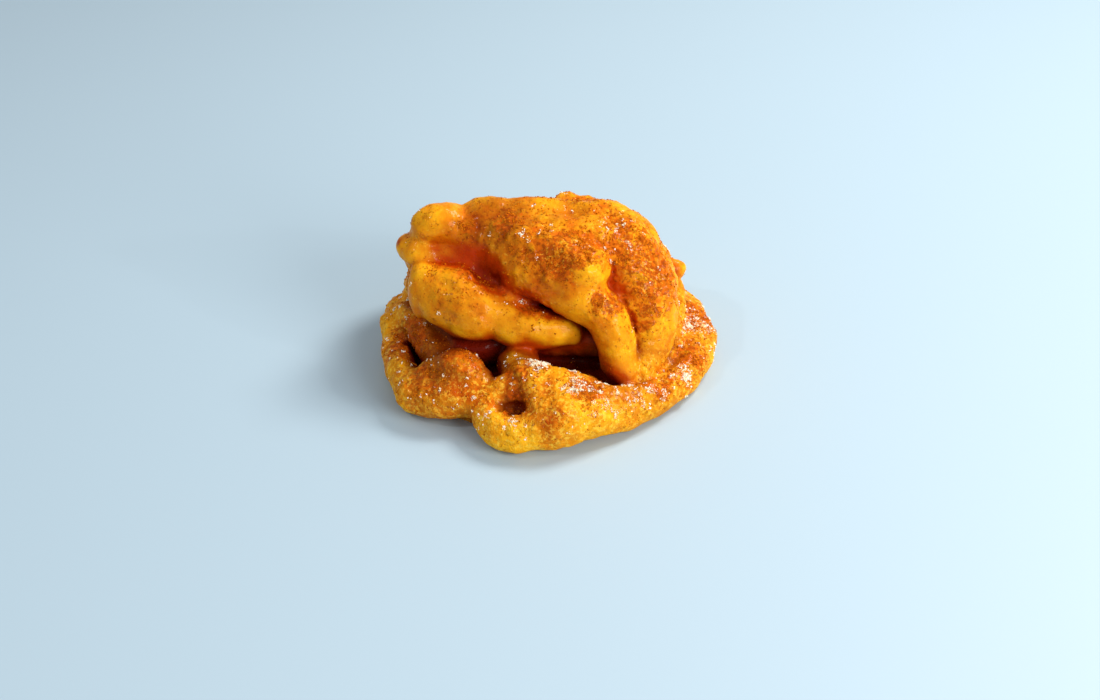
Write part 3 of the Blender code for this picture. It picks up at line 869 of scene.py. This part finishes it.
def doughMaterial():
    look = doughFinish
    material, tree, shader, where = newMaterial("fried_dough")
    hidden, ridge, tone, sandy, dusted, sugared, brownedAndShaded = (
        kept(tree, name) for name in ("hidden", "ridge", "tone", "sandy", "dusted", "sugared", "brownedAndShaded"))
    shifted = tree.nodes.new("ShaderNodeVectorMath")     # for marks that don't line up with the others
    shifted.operation = "ADD"
    shifted.inputs[1].default_value = (0.31, 0.17, 0.23)
    link(tree, where, shifted.inputs[0])
    aside = shifted.outputs[0]

    def across(value, name, full=1.0):
        # from the first setting to the second as the value goes from 0 to full
        return mapRange(tree, value, 0, full, *look[name])

    # the crust: paler where it stands proud, browner in places, with painted light and shade in the tone and
    # in the browner places
    proud = mathNode(tree, "MULTIPLY", ridge, across(brownedAndShaded, "proud"))
    lifted = mathNode(tree, "ADD", tone, proud, clamp=True)
    colour = useEffect(tree, "drift", vector=where, size=look["driftSize"], tone=lifted,
                       unevenness=look["unevenness"], deep=look["deep"], pale=look["pale"])
    colour = mixColour(tree, brownedAndShaded, colour, look["brownedAndShaded"], "MULTIPLY")

    # darker blotches, soft freckles and pale crumbs in the crust
    marked = mapRange(tree, tone, look["paleFrom"], 1.0, 1.0, look["paleMarks"])
    crisp = mathNode(tree, "SUBTRACT", 1.0, mathNode(tree, "MULTIPLY", brownedAndShaded, look["brownedAndShadedCrumbs"]))
    crumbs = mathNode(tree, "MULTIPLY", crisp, across(sandy, "crumbShare"))
    freckles = across(brownedAndShaded, "freckleCover")
    colour, blotch = markOver(tree, where, colour, look["blotch"], look["blotchCover"], "MULTIPLY", marked)
    colour, _ = markOver(tree, aside, colour, look["freckle"], freckles, "MULTIPLY", marked)
    colour, _ = markOver(tree, aside, colour, look["crumb"], across(sandy, "crumbCover"), by=crumbs)

    # painted shade: where other ropes close in, the crust is painted deep red, and darker still in the
    # pockets
    creaseShade = mixColour(tree, sandy, look["creaseShade"], look["dryCreaseShade"])
    for tint, fade in ((creaseShade, "creaseShadeRange"), (look["pocket"], "pocketShadeRange")):
        start, full, share = look[fade]
        colour = mixColour(tree, mapRange(tree, hidden, start, full, 0.0, share), colour, tint)

    # a veil of the finest cinnamon, flecks of it, crumbs that show through, and the finest sugar
    dusty, frosted = (
        mathNode(tree, "ADD", lying, mathNode(tree, "MULTIPLY", sandy, look[share]), clamp=True)
        for lying, share in ((dusted, "sandyDust"), (sugared, "sandySugar")))
    dustFull = look["dustFull"]
    showing = across(dusty, "dustedCrumbCover")
    colour, veil = markOver(tree, where, colour, look["dust"], across(dusty, "dustCover", dustFull))
    colour, fleck = markOver(tree, where, colour, look["fleck"], across(dusty, "fleckCover", dustFull))
    colour, _ = markOver(tree, aside, colour, look["dustedCrumb"], showing, by=crisp)
    colour, _ = markOver(tree, where, colour, look["sugar"], across(frosted, "sugarCover"))
    link(tree, colour, shader.inputs["Base Color"])

    # oily where it is bare, dull where it is dusty or sandy
    rough = mathNode(tree, "MAXIMUM", sandy, mathNode(tree, "MULTIPLY", veil, look["veilRoughness"]))
    patch = mathNode(tree, "SUBTRACT", noiseNode(tree, where, look["patchScale"], 3.0), 0.5)
    rough = mathNode(tree, "ADD", rough, mathNode(tree, "MULTIPLY", patch, look["patchDepth"]))
    link(tree, across(rough, "roughness"), shader.inputs["Roughness"])

    # fine relief
    grain = useEffect(tree, "grain", vector=where, size=look["grainSize"], sharpness=look["grainSharpness"])
    rise = mathNode(tree, "MULTIPLY", grain, across(sandy, "grainShare"))
    wave = noiseNode(tree, where, look["waveScale"], 2.0)
    for height, share in ((wave, "waveShare"), (fleck, "fleckShare"), (blotch, "blotchShare")):
        rise = mathNode(tree, "ADD", rise, mathNode(tree, "MULTIPLY", height, look[share]))
    bump(tree, shader, rise, look["grainDepth"])
    setGlow(shader, look)
    shader.inputs["Specular IOR Level"].default_value = look["specular"]
    shader.inputs["Coat Weight"].default_value = look["oil"]
    shader.inputs["Coat Roughness"].default_value = look["oilRoughness"]
    return material


cinnamonFinish = {
    "deep": (0.28, 0.032, 0.0006), "pale": (0.86, 0.250, 0.006), "driftSize": 0.7, "unevenness": 0.5,
    "roughness": (0.7, 0.9), "grainSize": 0.2, "sharpness": 0.5, "grainDepth": 0.00008,
    "specular": 0.02,
}

sugarFinish = {
    "deep": (0.98, 0.80, 0.46), "pale": (1.0, 0.98, 0.90), "driftSize": 0.6, "unevenness": 0.3,
    "roughness": (0.26, 0.53), "grainSize": 0.18, "sharpness": 0.8, "grainDepth": 0.00006,
    "glow": 0.15, "glowRadius": (1.0, 0.9, 0.7), "glowDepth": 0.0005,
}


def crumbMaterial(name, look):
    material, tree, shader, where = newMaterial(name)
    colour = useEffect(tree, "drift", vector=where, size=look["driftSize"], tone=kept(tree, "shade"),
                       unevenness=look["unevenness"], deep=look["deep"], pale=look["pale"])
    link(tree, colour, shader.inputs["Base Color"])
    grain = useEffect(tree, "grain", vector=where, size=look["grainSize"], sharpness=look["sharpness"])
    link(tree, mapRange(tree, grain, 0.0, 1.0, *look["roughness"]), shader.inputs["Roughness"])
    bump(tree, shader, grain, look["grainDepth"])
    return material, shader


def cinnamonMaterial():
    material, shader = crumbMaterial("cinnamon", cinnamonFinish)
    shader.inputs["Specular IOR Level"].default_value = cinnamonFinish["specular"]
    return material


def sugarMaterial():
    material, shader = crumbMaterial("sugar", sugarFinish)
    setGlow(shader, sugarFinish)
    return material


# table top, light and camera

studio = {
    "floor": (0.46, 0.59, 0.68), "floorSide": 8.0, "floorCells": 12,
    "floorDrift": 160.0, "floorUnevenness": 0.1, "floorShade": 0.96, "floorRoughness": 0.55,
    "world": (0.90, 0.95, 1.0), "worldStrength": 0.44,
    "aim": (0, 0, 0.02),                 # metres
    # lamps: where and side in metres, power in watts, colour
    "key": ((0.46, 0.22, 0.62), 0.26, 4.95, (1.0, 0.98, 0.94)),
    "fill": ((0.58, -0.62, 0.40), 0.45, 6.1, (1.0, 0.99, 0.97)),
    "leftSpark": ((-0.36, -0.20, 0.58), 0.028, 0.45, (1.0, 0.99, 0.97)),
    "rightSpark": ((0.53, -0.345, 0.29), 0.025, 0.4, (1.0, 0.99, 0.97)),
}


def softLamp(name, where, side, power, colour):
    lamp = bpy.data.lights.new(name, "AREA")
    lamp.size = side
    lamp.energy = power
    lamp.color = colour
    holder = bpy.data.objects.new(name, lamp)
    scene.collection.objects.link(holder)
    holder.location = where
    aim = Vector(where) - Vector(studio["aim"])          # a lamp shines along its own -Z
    holder.rotation_euler = aim.to_track_quat("Z", "Y").to_euler()


def floorPiece():
    bm = bmesh.new()
    cells = studio["floorCells"]
    bmesh.ops.create_grid(bm, x_segments=cells, y_segments=cells, size=studio["floorSide"] / 2)
    mesh = bpy.data.meshes.new("floor")
    bm.to_mesh(mesh)
    bm.free()
    floor = bpy.data.objects.new("floor", mesh)
    scene.collection.objects.link(floor)
    material, tree, shader, where = newMaterial("tableTop")
    shade = tuple(channel * studio["floorShade"] for channel in studio["floor"])
    colour = useEffect(tree, "drift", vector=where, size=studio["floorDrift"], tone=0.5,
                       unevenness=studio["floorUnevenness"], deep=shade, pale=studio["floor"])
    link(tree, colour, shader.inputs["Base Color"])
    shader.inputs["Roughness"].default_value = studio["floorRoughness"]
    mesh.materials.append(material)


def setWorld():
    world = bpy.data.worlds.new("studio")
    scene.world = world
    world.use_nodes = True
    background = world.node_tree.nodes["Background"]
    background.inputs["Color"].default_value = (*studio["world"], 1)
    background.inputs["Strength"].default_value = studio["worldStrength"]


viewpoint = {
    "from": (0.000524, -0.36126, 0.258644),              # metres
    "lookDown": 35.1, "roll": 3.0,                       # degrees
    "lens": 50.0, "sensor": 36.0,                        # mm
    "clipStart": 0.01,
}


def addCamera():
    down, roll = math.radians(viewpoint["lookDown"]), math.radians(viewpoint["roll"])
    ahead = Vector((0, math.cos(down), -math.sin(down)))
    up = Vector((0, math.sin(down), math.cos(down)))
    right = Vector((1, 0, 0))
    right, up = (math.cos(roll) * right - math.sin(roll) * up,
                 math.sin(roll) * right + math.cos(roll) * up)
    camera = bpy.data.cameras.new("camera")
    camera.lens = viewpoint["lens"]
    camera.sensor_width = viewpoint["sensor"]
    camera.clip_start = viewpoint["clipStart"]
    holder = bpy.data.objects.new("camera", camera)
    scene.collection.objects.link(holder)
    turn = Matrix((right, up, -ahead)).transposed()
    holder.matrix_world = Matrix.Translation(viewpoint["from"]) @ turn.to_4x4()
    scene.camera = holder


# the cake put together

print("camera, light and table top")
addCamera()
setWorld()
for lampName in ("key", "fill", "leftSpark", "rightSpark"):
    softLamp(lampName, *studio[lampName])
floorPiece()
scene.view_settings.view_transform = "Standard"

print("frying the batter")
cake = fryCake()
print("triangles in the dough:", len(cake.data.polygons))

print("recording the skin")
hidden = recordSkin(cake)
keep(cake.data, "dusted", dustCover(cinnamon, cake, hidden))
keep(cake.data, "sugared", dustCover(sugar, cake, hidden))

print("dusting with cinnamon and sugar")
cinnamonPiece = scatter("cinnamonGrains", cinnamon, cake, hidden)
sugarPiece = scatter("sugarGrains", sugar, cake, hidden)

print("finishes")
cake.data.materials.append(doughMaterial())
cinnamonPiece.data.materials.append(cinnamonMaterial())
sugarPiece.data.materials.append(sugarMaterial())

for piece, slotName in ((cake, "fried_dough"), (cinnamonPiece, "cinnamon"), (sugarPiece, "sugar")):
    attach(piece, "root")
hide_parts("funnel_cake")
